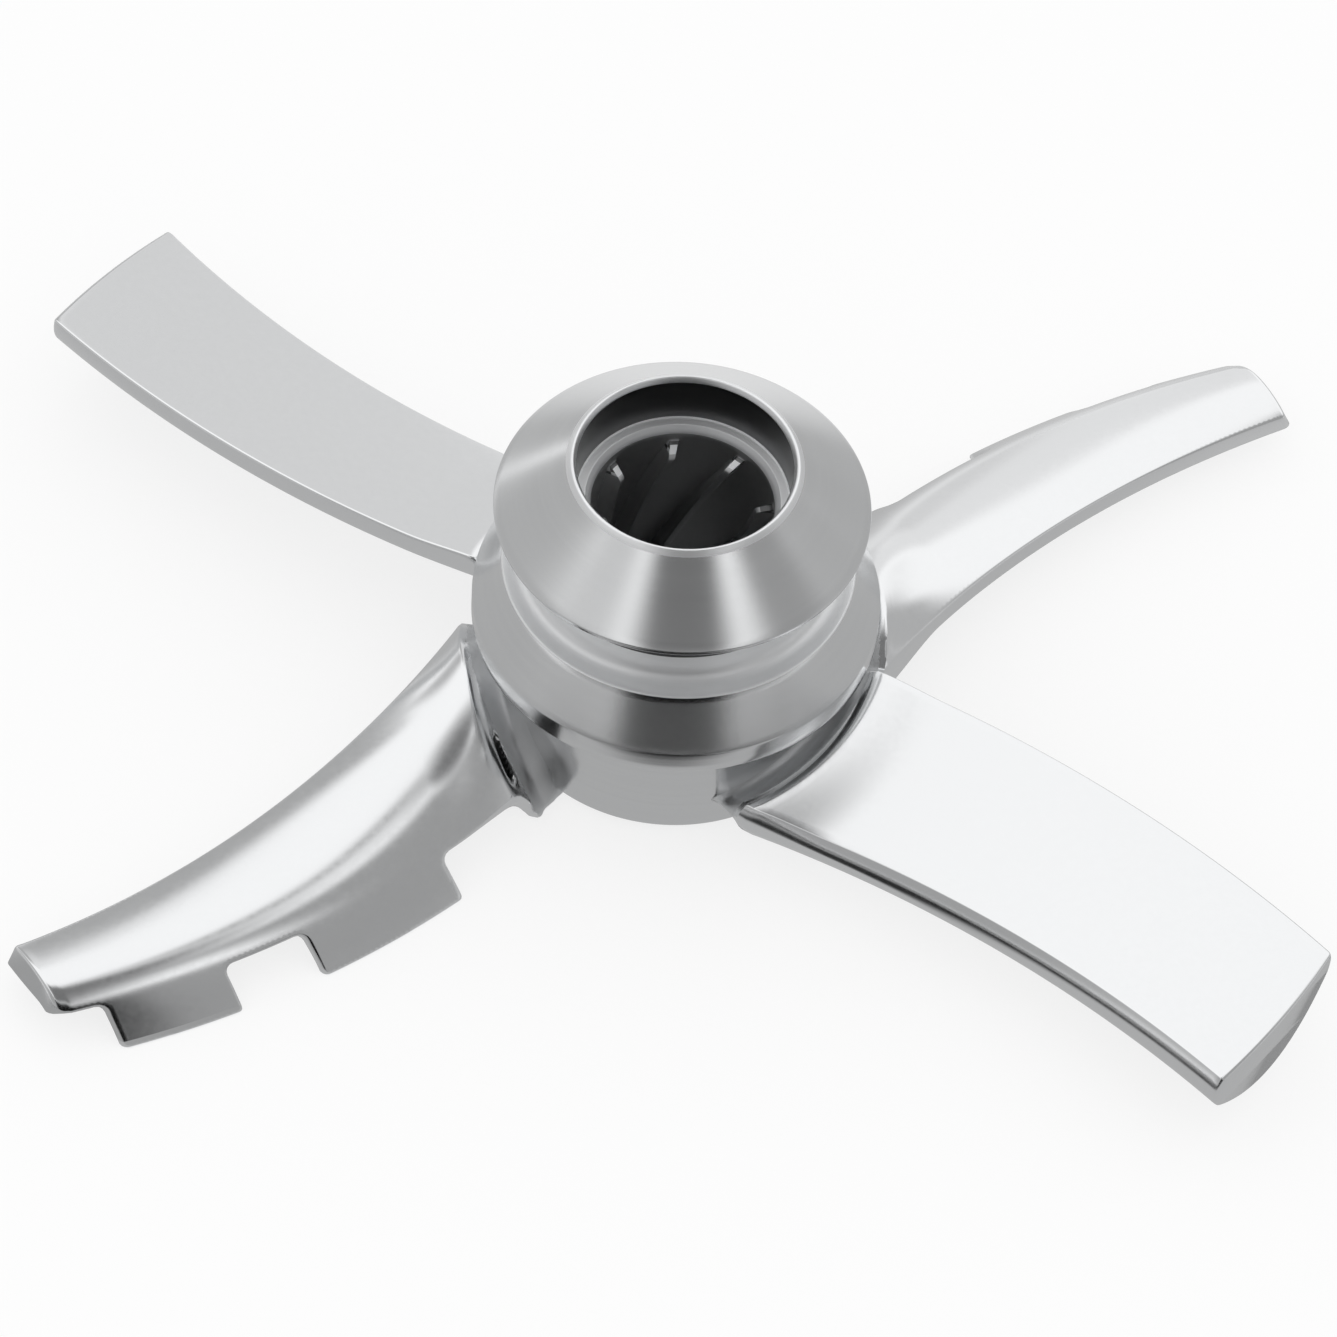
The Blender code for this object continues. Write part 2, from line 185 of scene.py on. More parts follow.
# Finishes as (turned or not, light given back, roughness, metallic share)
FINISHES = {
    "turned": (True, 0.85, 0.18, 1.0),
    "polished": (False, 0.92, 0.16, 1.0),
    # socket: near-black steel as painted shade, for the socket's mouth, a band on the neck, the slit
    # and the ribs' upper ends
    "socket": (True, 0.15, 0.34, 1.0),
    # ledge: a rough, light steel on the ledge ring, and a painted highlight on the ribs' tops at the
    # back
    "ledge": (True, 0.97, 0.60, 1.0),
    # lip: a rougher, lighter steel on the lip's rounded rim, its lightness a painted highlight
    "lip": (True, 0.97, 0.35, 1.0),
    "groove": (True, 0.82, 0.40, 0.72),
    "bore": (True, 0.55, 0.45, 1.0),
    "root": (False, 0.82, 0.40, 1.0),
}
FINISH_SLOTS = {name: slot for slot, name in enumerate(FINISHES)}

# Grain of the steel: the drift of its rings, the blue in its grey and the range of noise that counts
RING_DRIFT = 0.00006
COOL = 0.01
NOISE_LOW = 0.3
NOISE_HIGH = 0.7

# Where one finish gives way to the next
FINISH_MARGIN = 0.0001
MOUTH_MARGIN = 0.00005
LEDGE_MARGIN = 0.00009
# Height and depth of a band of painted shade on the neck, just under the upper cone
NECK_SHADE = 0.01338
NECK_SHADE_HEIGHT = 0.0004
RIB_TOP_DEPTH = 0.0005
RIB_LIT_DEPTH = 0.0006
RIB_LIT_FROM = 0.002
SATIN_ROOT = 0.0111

# Camera, with its focal length in pixels of the photograph
CAMERA_ELEVATION = 51.56
CAMERA_DISTANCE = 0.4036
CAMERA_ROLL = 3.96
CAMERA_TARGET = (-0.000145, 0.0, 0.00251)
FOCAL_PIXELS = 7443.0
PHOTO_PIXELS = 1337.0
SENSOR_WIDTH = 36.0
CLIP_START = 0.01

# Floor and cards: the share of the floor that glows, and the height below which a card lies level
FLOOR_HALF = 2.0
FLOOR_LEVEL = 0.94
FLOOR_GLOW = 0.75
LEVEL_CARD_BELOW = 0.001

# Fineness of the hub
COLUMNS_PER_RIB = 24
RIB_COLUMNS = 10
RUN_STEP = 0.0004
BORE_STEP = 1.5 * RUN_STEP
RAMP_STEPS = 6

# Fineness of the flat blades
BLADE_STEP = 0.0004
FLAT_STEPS = 20
FLAT_HIGH_STEPS = 5
FLAT_LOW_STEPS = 8

# Fineness of the toothed blades: GRID_CLEAR and SPAN_SHARE are shares of a step
SHEET_STEP = 0.00032
SHEET_ROOT_STEP = 0.00011
SHEET_ROOT_END = 0.0120
OUTLINE_STEP = 0.00016
GRID_CLEAR = 0.6
SPAN_SHARE = 0.6
GRID_MARGIN = 0.001
HALVINGS = 40
FLAT_TOLERANCE = 1e-8

# Fineness of every body
ARC_STEPS = 4
END_STEPS = 3
MERGE_DISTANCE = 1e-7
SHARP_ANGLE = 38.0


def mix(a, b, share):
    """The value that lies the given share of the way from a to b."""
    return a + (b - a) * share


def ease(start, end, value):
    """Goes smoothly from 0 at start to 1 at end."""
    share = min(max((value - start) / (end - start), 0.0), 1.0)
    return share * share * (3.0 - 2.0 * share)


def hump(height, share):
    """A parabola that is 0 at the shares 0 and 1 and reaches its height half way."""
    return 4.0 * height * share * (1.0 - share)


def spread(start, end, step):
    """Values from start to end, about one step apart, both ends included."""
    count = max(2, round(abs(end - start) / step) + 1)
    return [mix(start, end, i / (count - 1)) for i in range(count)]


def polar(radius, azimuth, height):
    """A point from its radius, azimuth and height."""
    return (radius * math.cos(azimuth), radius * math.sin(azimuth), height)


def arc_azimuth(centre_x, centre_y, arc_radius, radius):
    """Azimuth at which an arc of a blade's outline crosses the circle of the given radius."""
    reach = math.hypot(centre_x, centre_y)
    cosine = (reach ** 2 + radius ** 2 - arc_radius ** 2) / (2.0 * reach * radius)
    return math.atan2(centre_y, centre_x) + math.acos(min(max(cosine, -1.0), 1.0))


def root_rise(radius):
    """Rise of a blade's top at its root: a crest, and a fall from it into a pit at the hub."""
    if radius > CREST_RADIUS:
        return CREST_RISE * (1.0 - ease(CREST_RADIUS, CREST_FOOT, radius))
    return mix(-PIT_DEPTH, CREST_RISE, ease(PIT_RADIUS, CREST_RADIUS, radius))


def root_flare(radius):
    """How far a blade's low side runs out into the hub's wall, as a quarter of an ellipse."""
    inward = min(max((CREST_RADIUS - radius) / (CREST_RADIUS - ROOT_FLARE_END), 0.0), 1.0)
    return ROOT_FLARE * (1.0 - math.sqrt(1.0 - inward ** 2))


def corner_arc(before, corner, after, radius):
    """The points that take the place of a corner rounded with the given radius."""
    here = Vector(corner)
    back = (Vector(before) - here).normalized()
    ahead = (Vector(after) - here).normalized()
    half = math.acos(min(max(back.dot(ahead), -1.0), 1.0)) / 2.0
    start = here + back * (radius / math.tan(half))
    end = here + ahead * (radius / math.tan(half))
    centre = here + (back + ahead).normalized() * (radius / math.sin(half))
    turn = (start - centre).angle_signed(end - centre)
    points = []
    for i in range(ARC_STEPS + 1):
        angle = turn * i / ARC_STEPS
        arm = Matrix.Rotation(-angle, 2) @ (start - centre)
        points.append(tuple(centre + arm))
    return points


def rounded(corners, closed):
    """An outline through corners (x, y, radius), with an arc in the place of each rounded corner."""
    count = len(corners)
    points = []
    for i, (x, y, radius) in enumerate(corners):
        if radius == 0.0 or (not closed and i in (0, count - 1)):
            points.append((x, y))
        else:
            points += corner_arc(corners[i - 1][:2], (x, y), corners[(i + 1) % count][:2], radius)
    return points


def divided(points, step):
    """The same open outline with its long runs divided."""
    fine = [points[0]]
    for (x0, y0), (x1, y1) in zip(points, points[1:]):
        parts = max(1, math.ceil(math.hypot(x1 - x0, y1 - y0) / step))
        fine += [(mix(x0, x1, i / parts), mix(y0, y1, i / parts)) for i in range(1, parts + 1)]
    return fine


def body_from(name, shape):
    """An object from a bmesh, with its normals pointing out."""
    bmesh.ops.remove_doubles(shape, verts=shape.verts, dist=MERGE_DISTANCE)
    bmesh.ops.recalc_face_normals(shape, faces=shape.faces)
    mesh = bpy.data.meshes.new(name)
    shape.to_mesh(mesh)
    shape.free()
    body = bpy.data.objects.new(name, mesh)
    bpy.context.scene.collection.objects.link(body)
    return body


def loft(name, loops):
    """One closed body through loops of equally many points, with both ends capped."""
    shape = bmesh.new()
    rings = [[shape.verts.new(point) for point in loop] for loop in loops]
    for first, second in zip(rings, rings[1:]):
        count = len(first)
        for i in range(count):
            j = (i + 1) % count
            shape.faces.new((first[i], first[j], second[j], second[i]))
    shape.faces.new(rings[0])
    shape.faces.new(rings[-1])
    return body_from(name, shape)


def flat_outline(radius):
    """Section of a flat blade as a closed outline of (distance along the arc, height)."""
    outside = max(radius, CREST_RADIUS)
    low_azimuth = arc_azimuth(FLAT_CENTRE_X, FLAT_CENTRE_Y, FLAT_INNER_ARC, outside)
    high_azimuth = arc_azimuth(FLAT_CENTRE_X, FLAT_CENTRE_Y, FLAT_INNER_ARC + FLAT_WIDTH, outside)
    width = radius * (high_azimuth - low_azimuth)
    outward = (outside - CREST_RADIUS) / (TIP_RADIUS - CREST_RADIUS)
    low_height = mix(FLAT_LOW_ROOT, FLAT_LOW_TIP, outward ** 2)
    high_height = mix(FLAT_HIGH_ROOT, FLAT_HIGH_TIP, outward)
    low_wall = mix(FLAT_LOW_WALL_ROOT, FLAT_LOW_WALL_TIP, outward)
    full_belly = mix(FLAT_BELLY_ROOT, FLAT_BELLY_TIP, outward)
    flare = root_flare(radius)

    def corner(across, beyond, depth, round_radius=0.0):
        rise = root_rise(radius) * max(1.0 - depth / low_wall, 0.0)
        place = mix(-flare * ease(0.0, low_wall, depth), width, across) + beyond
        return (place, mix(low_height, high_height, across) + rise - depth, round_radius)

    corners = [corner(0.0, 0.0, 0.0, FLAT_TOP_ROUND)]
    corners += [corner(i / FLAT_STEPS, 0.0, 0.0) for i in range(1, FLAT_STEPS)]
    corners.append(corner(1.0, 0.0, 0.0, FLAT_TOP_ROUND))
    for i in range(1, FLAT_HIGH_STEPS):
        share = i / FLAT_HIGH_STEPS
        bulge = FLAT_HIGH_BULGE * math.sin(math.pi * share)
        corners.append(corner(1.0, bulge, FLAT_HIGH_WALL * share))
    for i in range(FLAT_STEPS + 1):
        across = 1.0 - i / FLAT_STEPS
        depth = mix(low_wall, FLAT_HIGH_WALL, across) + hump(full_belly, across)
        turn = FLAT_UNDER_ROUND if i in (0, FLAT_STEPS) else 0.0
        corners.append(corner(across, 0.0, depth, turn))
    for i in range(1, FLAT_LOW_STEPS):
        share = 1.0 - i / FLAT_LOW_STEPS
        bulge = FLAT_LOW_BULGE * math.sin(math.pi * share)
        corners.append(corner(0.0, -bulge, low_wall * share))
    return low_azimuth, rounded(corners, True)


def inset(outline, distance):
    """The outline moved inwards, for one that runs clockwise or anticlockwise alike."""
    count = len(outline)
    pairs = [(outline[i - 1], outline[i]) for i in range(count)]
    area = sum(x0 * y1 - x1 * y0 for (x0, y0), (x1, y1) in pairs)
    side = math.copysign(1.0, area)
    moved = []
    for i, (x, y) in enumerate(outline):
        x0, y0 = outline[i - 1]
        x1, y1 = outline[(i + 1) % count]
        length = math.hypot(x1 - x0, y1 - y0)
        left = side * distance * (y1 - y0) / length
        up = side * distance * (x1 - x0) / length
        moved.append((x - left, y + up))
    return moved


def flat_blade(name):
    """A pitched blade with a flat top, a full belly and softly rounded edges."""
    loops = []
    for radius in spread(ROOT_RADIUS, TIP_RADIUS - FLAT_END_ROUND, BLADE_STEP):
        azimuth, outline = flat_outline(radius)
        loops.append([polar(radius, azimuth + x / radius, HUB_BASE + z) for x, z in outline])
    for i in range(1, END_STEPS + 1):
        angle = math.pi / 2.0 * i / END_STEPS
        radius = TIP_RADIUS - FLAT_END_ROUND * (1.0 - math.sin(angle))
        azimuth, outline = flat_outline(radius)
        outline = inset(outline, FLAT_END_ROUND * (1.0 - math.cos(angle)))
        loops.append([polar(radius, azimuth + x / radius, HUB_BASE + z) for x, z in outline])
    return loft(name, loops)


def teeth_level(radius):
    """The level to which a toothed blade's fold runs down at the given radius."""
    return mix(FOOT_HEIGHT, -HUB_BASE, ease(FOOT_END, FOOT_END + FOOT_BLEND, radius))


def sheet_form(radius):
    """Azimuth, width, fall, crown and shoulder of a toothed blade's section."""
    outside = max(radius, CREST_RADIUS)
    smooth_azimuth = arc_azimuth(SMOOTH_CENTRE_X, SMOOTH_CENTRE_Y, TOOTHED_ARC, outside)
    gap_azimuth = arc_azimuth(GAP_CENTRE_X, GAP_CENTRE_Y, TOOTHED_ARC, outside)
    inward = max((TIP_RADIUS - outside) / (TIP_RADIUS - CREST_RADIUS), 0.0)
    fall = mix(SMOOTH_LOW, SMOOTH_HIGH, inward ** SMOOTH_CURVE) - GAP_HEIGHT
    crown = mix(CROWN_TIP, CROWN_ROOT, inward ** CROWN_CURVE)
    shoulder = mix(SHOULDER, 0.0, inward ** CROWN_CURVE)
    return smooth_azimuth, radius * (gap_azimuth - smooth_azimuth), fall, crown, shoulder


def slit_depth(place, along):
    """Depth of the slit at the low end of a toothed blade's crest, on its hub side."""
    across = 1.0 - ease(0.0, SLIT_HALF, abs(place - SLIT_PLACE))
    middle = mix(SLIT_START, SLIT_END, 0.5)
    half = SLIT_END - middle
    return SLIT_DEPTH * across * (1.0 - ease(SLIT_FULL * half, half, abs(along - middle)))


def sheet_root(radius, along):
    """Rise of a toothed blade's top at its root, which fades out at the smooth edge."""
    edge = ease(0.0, SHEET_PIT_FULL, along)
    foot = mix(1.0, SHEET_PIT_FOOT, ease(SHEET_PIT_FADE, 1.0, along))
    place = radius_to_grid(radius, along)
    return edge * foot * root_rise(radius - crest_shift(along)) - slit_depth(place, along)


def crest_shift(along):
    """How far out the crest lies, from the smooth edge to the gap edge."""
    return mix(SHEET_CREST_INNER, SHEET_CREST_OUTER, along)


def grid_to_radius(place, along):
    """Radius of a point of the sheet's grid, whose rows near the hub follow the crest."""
    if place < PIT_RADIUS:
        return place + crest_shift(along) * ease(ROOT_RADIUS, PIT_RADIUS, place)
    return place + crest_shift(along) * (1.0 - ease(CREST_RADIUS, SHEET_WARP_END, place))


def radius_to_grid(radius, along):
    """The inverse of grid_to_radius, by halving."""
    low = ROOT_RADIUS - GRID_MARGIN
    high = TIP_RADIUS + GRID_MARGIN
    for i in range(HALVINGS):
        middle = mix(low, high, 0.5)
        if grid_to_radius(middle, along) < radius:
            low = middle
        else:
            high = middle
    return low


def fold_angle(radius, start, run):
    """Downward angle of the fold at a distance from the sheet's edge, where the angle is start."""
    lead = FOLD_LEAD + HUB_LEAD * (1.0 - ease(FOOT_END, HUB_TOOTH_END, radius))
    return mix(start, math.radians(FOLD_ANGLE), ease(0.0, FOLD_LENGTH, run - lead))


def sheet_line(radius, span):
    """Azimuth, distance across, height and downward angle of a sheet's top, by radius and span."""
    azimuth, width, fall, crown, shoulder = sheet_form(radius)
    along = min(span / SHEET_SPAN, 1.0)
    height = GAP_HEIGHT + fall * (1.0 - along) + hump(crown, along)
    height += sheet_root(radius, along) + shoulder * along ** 4 * (1.0 - along)
    shoulder_slope = shoulder * along ** 3 * (4.0 - 5.0 * along)
    angle = math.atan((fall - 4.0 * crown * (1.0 - 2.0 * along) - shoulder_slope) / width)
    across = width * along
    beyond = span - SHEET_SPAN
    start = angle
    run = 0.0
    while run < beyond:
        step = min(FOLD_STEP, beyond - run)
        angle = fold_angle(radius, start, run + step / 2.0)
        across += step * math.cos(angle)
        height -= step * math.sin(angle)
        run += step
    return azimuth, across, height, angle


def fold_length(radius):
    """Length of the fold from the sheet's edge to the level on which the teeth stand."""
    level = teeth_level(radius)
    height, start = sheet_line(radius, SHEET_SPAN)[2:]
    run = 0.0
    while height > level:
        angle = fold_angle(radius, start, run + FOLD_STEP / 2.0)
        height -= FOLD_STEP * math.sin(angle)
        run += FOLD_STEP
    return run


def sheet_thickness(radius, span):
    """Thickness of a toothed blade, thickest in the middle of the sheet and thinnest in the fold."""
    along = min(span / SHEET_SPAN, 1.0)
    middle = MID_THICK - mix(SMOOTH_THICK, EDGE_THICK, 0.5)
    sheet = mix(SMOOTH_THICK, EDGE_THICK, along) + hump(middle, along)
    return mix(sheet, FOLD_THICK, ease(0.0, FOLD_LENGTH, span - SHEET_SPAN))


def sheet_point(place, span, share):
    """A point of a toothed blade's grid: share 0 is on its top and 1 on its underside."""
    along = min(max(span / SHEET_SPAN, 0.0), 1.0)
    radius = grid_to_radius(place, along)
    azimuth, across, height, angle = sheet_line(radius, span)
    thick = sheet_thickness(radius, span) * share
    root = (ROOT_THICK - MID_THICK) * (1.0 - ease(CREST_RADIUS, ROOT_THICK_RADIUS, radius))
    fold = ease(0.0, FOLD_LENGTH, span - SHEET_SPAN)
    drop = thick + root * share * (1.0 - fold)
    slant = max(radius - TIP_RADIUS + 2.0 * END_SLANT, 0.0) / 2.0 * (1.0 - share)
    across -= thick * math.sin(angle) * along
    height = max(height - drop * math.cos(angle), teeth_level(radius))
    return polar(radius - slant, azimuth + across / radius, HUB_BASE + height)


def sheet_outline(teeth):
    """A toothed blade spread out flat, as a closed outline of (grid radius, span)."""
    edge = SHEET_SPAN - RIM_ROUND
    corners = [(ROOT_RADIUS, RIM_ROUND, 0.0)]
    for inner, outer in teeth:
        start = max(inner + RIM_ROUND, ROOT_RADIUS)
        end = outer - RIM_ROUND
        if start > ROOT_RADIUS:
            corners.append((start, edge, GAP_FILLET))
        run = spread(start, end, OUTLINE_STEP)
        for i, radius in enumerate(run):
            turn = TOOTH_CORNER if (i == 0 and start > ROOT_RADIUS) or i == len(run) - 1 else 0.0
            place = radius_to_grid(radius, 1.0)
            corners.append((place, SHEET_SPAN + fold_length(radius) - RIM_ROUND, turn))
        corners.append((radius_to_grid(end, 1.0), edge, GAP_FILLET))
    last = TIP_RADIUS - RIM_ROUND
    if last - teeth[-1][1] > 2.0 * GAP_FILLET:
        corners.append((last, edge, SHEET_CORNER))
    else:
        corners[-1] = (corners[-1][0], edge, 0.0)
        corners.append((last, edge, 0.0))
    corners.append((last, RIM_ROUND, SHEET_CORNER))
    outline = rounded(corners, True)
    return divided(outline + outline[:1], OUTLINE_STEP)[:-1]


def crossings(outline, radius):
    """Distances at which the outline crosses a line of constant radius, in order."""
    found = []
    for (r0, s0), (r1, s1) in zip(outline, outline[1:] + outline[:1]):
        if (r0 <= radius) != (r1 <= radius):
            found.append(mix(s0, s1, (radius - r0) / (r1 - r0)))
    return sorted(found)


def row_spans(low, high, step, odd):
    """Evenly spread distances along one row of the grid, closer in the fold. Odd rows lie between."""
    split = min(high, SHEET_SPAN)
    spans = spread(low, split, step)
    if high > SHEET_SPAN + SHEET_STEP / 2.0:
        spans += spread(split, high, SHEET_STEP / 2.0)[1:]
    if odd:
        spans = [mix(a, b, 0.5) for a, b in zip(spans, spans[1:])]
    return spans


def sheet_grid(outline):
    """Points inside the outline in staggered rows, clear of it by a little over half a step."""
    points = []
    place = ROOT_RADIUS + SHEET_ROOT_STEP
    odd = False
    while place < TIP_RADIUS - SHEET_STEP / 2.0:
        root = place < SHEET_ROOT_END
        row_step = SHEET_ROOT_STEP if root else SHEET_STEP / 2.0
        clear = GRID_CLEAR * row_step
        rows = [crossings(outline, place + offset) for offset in (-clear, 0.0, clear)]
        if min(len(row) for row in rows) >= 2:
            low = max(row[0] for row in rows) + clear
            high = min(row[-1] for row in rows) - clear
            points += [(place, span) for span in row_spans(low, high, SHEET_STEP * SPAN_SHARE, odd)]
        odd = not odd
        place += row_step
    return points


def border_of(faces):
    """The vertices around a flat mesh, in order."""
    sides = dict.fromkeys((a, b) for face in faces for a, b in zip(face, face[1:] + face[:1]))
    border = [(a, b) for a, b in sides if (b, a) not in sides]
    after = dict(border)
    loop = [border[0][0]]
    while after[loop[-1]] != loop[0]:
        loop.append(after[loop[-1]])
    return loop


def rim_column(shape, point, out):
    """New vertices around a toothed blade's rim at one point, from its top to its underside."""
    thick = sheet_thickness(*point)
    column = []
    for part in range(1, 2 * END_STEPS + 1):
        upper = part <= END_STEPS
        angle = math.pi / 2.0 * (part if upper else 2 * END_STEPS + 1 - part) / END_STEPS
        inward = RIM_ROUND * (1.0 - math.cos(angle)) / thick
        radius, span = point + out * (RIM_ROUND * math.sin(angle))
        column.append(shape.verts.new(sheet_point(radius, span, inward if upper else 1.0 - inward)))
    return column


def toothed_blade(name, teeth):
    """A rolled sheet with teeth: its top and underside are meshed alike, and its rim is round."""
    outline = sheet_outline(teeth)
    points = [Vector(point) for point in outline + sheet_grid(outline)]
    border = list(range(len(outline)))
    flat, _, faces = delaunay_2d_cdt(points, [], [border], 1, FLAT_TOLERANCE)[:3]
    shape = bmesh.new()
    top = [shape.verts.new(sheet_point(r, s, 0.0)) for r, s in flat]
    under = [shape.verts.new(sheet_point(r, s, 1.0)) for r, s in flat]
    for face in faces:
        upper = shape.faces.new([top[i] for i in face])
        centre = sum((flat[i] for i in face), Vector((0.0, 0.0))) / len(face)
        # Faces deep in the slit get the dark socket finish: painted shade.
        if slit_depth(centre.x, centre.y / SHEET_SPAN) > SLIT_SHADE * SLIT_DEPTH:
            upper.material_index = FINISH_SLOTS["socket"]
        shape.faces.new([under[i] for i in reversed(face)])
    loop = border_of(faces)
    rims = []
    for i, here in enumerate(loop):
        back = flat[loop[i - 1]]
        ahead = flat[loop[(i + 1) % len(loop)]]
        along = (ahead - back).normalized()
        out = Vector((along.y, -along.x))
        rims.append([top[here]] + rim_column(shape, flat[here], out) + [under[here]])
    for i, column in enumerate(rims):
        ahead = rims[(i + 1) % len(rims)]
        for a, b, c, d in zip(column, ahead, ahead[1:], column[1:]):
            shape.faces.new((b, a, d, c))
    return body_from(name, shape)


def hub_profile():
    """The hub's outside and its socket down to the ribs, as (radius, height)."""
    corners = [
        (WALL_RADIUS - FOOT_CHAMFER, 0.0, 0.0),
        (WALL_RADIUS, FOOT_CHAMFER, WALL_ROUND),
        (WALL_RADIUS, LAND_LOW, WALL_ROUND),
        (LAND_RADIUS, LAND_LOW, LAND_ROUND),
        (LAND_RADIUS, LAND_HIGH + LAND_ROUND, LAND_ROUND),
        (SHELF_RADIUS, SHELF_HEIGHT, SHELF_ROUND),
        (NECK_RADIUS, SHELF_HEIGHT, NECK_FILLET),
        (NECK_RADIUS, NECK_TOP, NECK_FILLET),
        (CONE_RADIUS, CONE_LOW, CONE_ROUND),
        (CONE_RADIUS, CONE_HIGH, CONE_ROUND),
        (LIP_OUTER, HUB_HEIGHT - LIP_DROP, LIP_OUTER_ROUND),
        (LIP_CREST, HUB_HEIGHT, LIP_CREST_ROUND),
        (LIP_INNER, HUB_HEIGHT - LIP_DROP, LIP_INNER_ROUND),
        (MOUTH_RADIUS, HUB_HEIGHT - SHELF_DEPTH, MOUTH_ROUND),
        (SEAT_RADIUS, HUB_HEIGHT - SHELF_DEPTH, SEAT_ROUND),
        (SPLINE_RADIUS, HUB_HEIGHT - SHELF_DEPTH - LEAD_IN, 0.0),
    ]
    return divided(rounded(corners, False), RUN_STEP)


def rib_columns():
    """Angles of one rib and the wall after it as (angle, share of the rib's height)."""
    foot = RIB_BASE_WIDTH / 2.0 / SPLINE_RADIUS
    wall = 2.0 * math.pi / RIB_COUNT - 2.0 * foot
    wall_columns = COLUMNS_PER_RIB - RIB_COLUMNS
    flank = 1.0 - RIB_TIP_WIDTH / RIB_BASE_WIDTH
    columns = []
    for i in range(RIB_COLUMNS + 1):
        place = 2.0 * i / RIB_COLUMNS - 1.0
        columns.append((foot * place, ease(0.0, flank, 1.0 - abs(place))))
    for i in range(1, wall_columns):
        columns.append((foot + wall * i / wall_columns, 0.0))
    return columns


def hub(name):
    """The turned hub with its ribbed socket, one body made row by row."""
    count = RIB_COUNT * COLUMNS_PER_RIB
    period = 2.0 * math.pi / RIB_COUNT
    first = math.radians(RIB_FIRST_ANGLE)
    even = [first + period / COLUMNS_PER_RIB * (i - RIB_COLUMNS / 2) for i in range(count)]
    rows = [[polar(r, a, HUB_BASE + z) for a in even] for r, z in hub_profile()]
    rib_top = HUB_HEIGHT - SHELF_DEPTH - LEAD_IN - RIB_START
    ramp = [rib_top - RIB_RAMP * i / RAMP_STEPS for i in range(RAMP_STEPS + 1)]
    heights = ramp + spread(ramp[-1], SPLINE_FLOOR, BORE_STEP)[1:]
    for height in heights:
        rise = ease(0.0, RIB_RAMP, rib_top - height)
        twist = 2.0 * math.pi * (rib_top - height) / HELIX_PITCH
        ring = []
        for rib in range(RIB_COUNT):
            for angle, share in rib_columns():
                radius = mix(SPLINE_RADIUS, RIB_TIP_RADIUS, share * rise)
                ring.append(polar(radius, first + rib * period + angle + twist, HUB_BASE + height))
        rows.append(ring)
    return loft(name, rows)


def half_turn(body):
    """Turns a body by half a turn about the axis, in its mesh."""
    for vertex in body.data.vertices:
        vertex.co.x, vertex.co.y = -vertex.co.x, -vertex.co.y


def join(body, others):
    """Unites the bodies with exact Booleans and removes the ones that were added."""
    bpy.context.view_layer.objects.active = body
    for other in others:
        union = body.modifiers.new("Join " + other.name, "BOOLEAN")
        union.operation = "UNION"
        union.solver = "EXACT"
        union.object = other
        bpy.ops.object.modifier_apply(modifier=union.name)
        bpy.data.objects.remove(other, do_unlink=True)


def nodes_of(material):
    """The node tree of a new material and its shader."""
    material.use_nodes = True
    return material.node_tree, material.node_tree.nodes["Principled BSDF"]


def math_node(tree, operation, first, second=None):
    """A Math node fed by sockets or plain numbers."""
    node = tree.nodes.new("ShaderNodeMath")
    node.operation = operation
    for socket, value in zip(node.inputs, (first, second)):
        if isinstance(value, bpy.types.NodeSocket):
            tree.links.new(value, socket)
        elif value is not None:
            socket.default_value = value
    return node.outputs[0]


def noise_node(tree, vector, scale, detail, roughness=0.5):
    """A Noise texture's value over the given coordinates."""
    node = tree.nodes.new("ShaderNodeTexNoise")
    node.inputs["Scale"].default_value = scale
    node.inputs["Detail"].default_value = detail
    node.inputs["Roughness"].default_value = roughness
    tree.links.new(vector, node.inputs["Vector"])
    return node.outputs["Fac"]


def ranged(tree, value, low, high):
    """A noise's value, with the middle of its range stretched to the given one."""
    node = tree.nodes.new("ShaderNodeMapRange")
    tree.links.new(value, node.inputs["Value"])
    node.inputs["From Min"].default_value = NOISE_LOW
    node.inputs["From Max"].default_value = NOISE_HIGH
    node.inputs["To Min"].default_value = low
    node.inputs["To Max"].default_value = high
    return node.outputs["Result"]


def tinted(tree, shader, value, low, high):
    """Drives the base colour between two greys, a little cooler than neutral."""
    ramp = tree.nodes.new("ShaderNodeValToRGB")
    for element, level in zip(ramp.color_ramp.elements, (low, high)):
        element.color = (level * (1.0 - COOL), level, level * (1.0 + COOL), 1.0)
    ramp.color_ramp.elements[0].position = NOISE_LOW
    ramp.color_ramp.elements[1].position = NOISE_HIGH
    tree.links.new(value, ramp.inputs["Fac"])
    tree.links.new(ramp.outputs["Color"], shader.inputs["Base Color"])


def bumped(tree, shader, height, distance, strength):
    """Adds a bump of the given depth."""
    bump = tree.nodes.new("ShaderNodeBump")
    bump.inputs["Distance"].default_value = distance
    bump.inputs["Strength"].default_value = strength
    tree.links.new(height, bump.inputs["Height"])
    tree.links.new(bump.outputs["Normal"], shader.inputs["Normal"])


def ring_coordinates(tree):
    """Coordinates of radius and height, drifting slightly around the axis, for a noise of rings."""
    place = tree.nodes.new("ShaderNodeTexCoord").outputs["Object"]
    parts = tree.nodes.new("ShaderNodeSeparateXYZ")
    tree.links.new(place, parts.inputs["Vector"])
    sides = [parts.outputs[axis] for axis in ("X", "Y")]
    squares = [math_node(tree, "MULTIPLY", side, side) for side in sides]
    radius = math_node(tree, "SQRT", math_node(tree, "ADD", *squares))
    drift = math_node(tree, "MULTIPLY", noise_node(tree, place, scale=90.0, detail=1.0), RING_DRIFT)
    rings = tree.nodes.new("ShaderNodeCombineXYZ")
    tree.links.new(math_node(tree, "ADD", radius, drift), rings.inputs["X"])
    tree.links.new(parts.outputs["Z"], rings.inputs["Y"])
    return rings.outputs["Vector"]


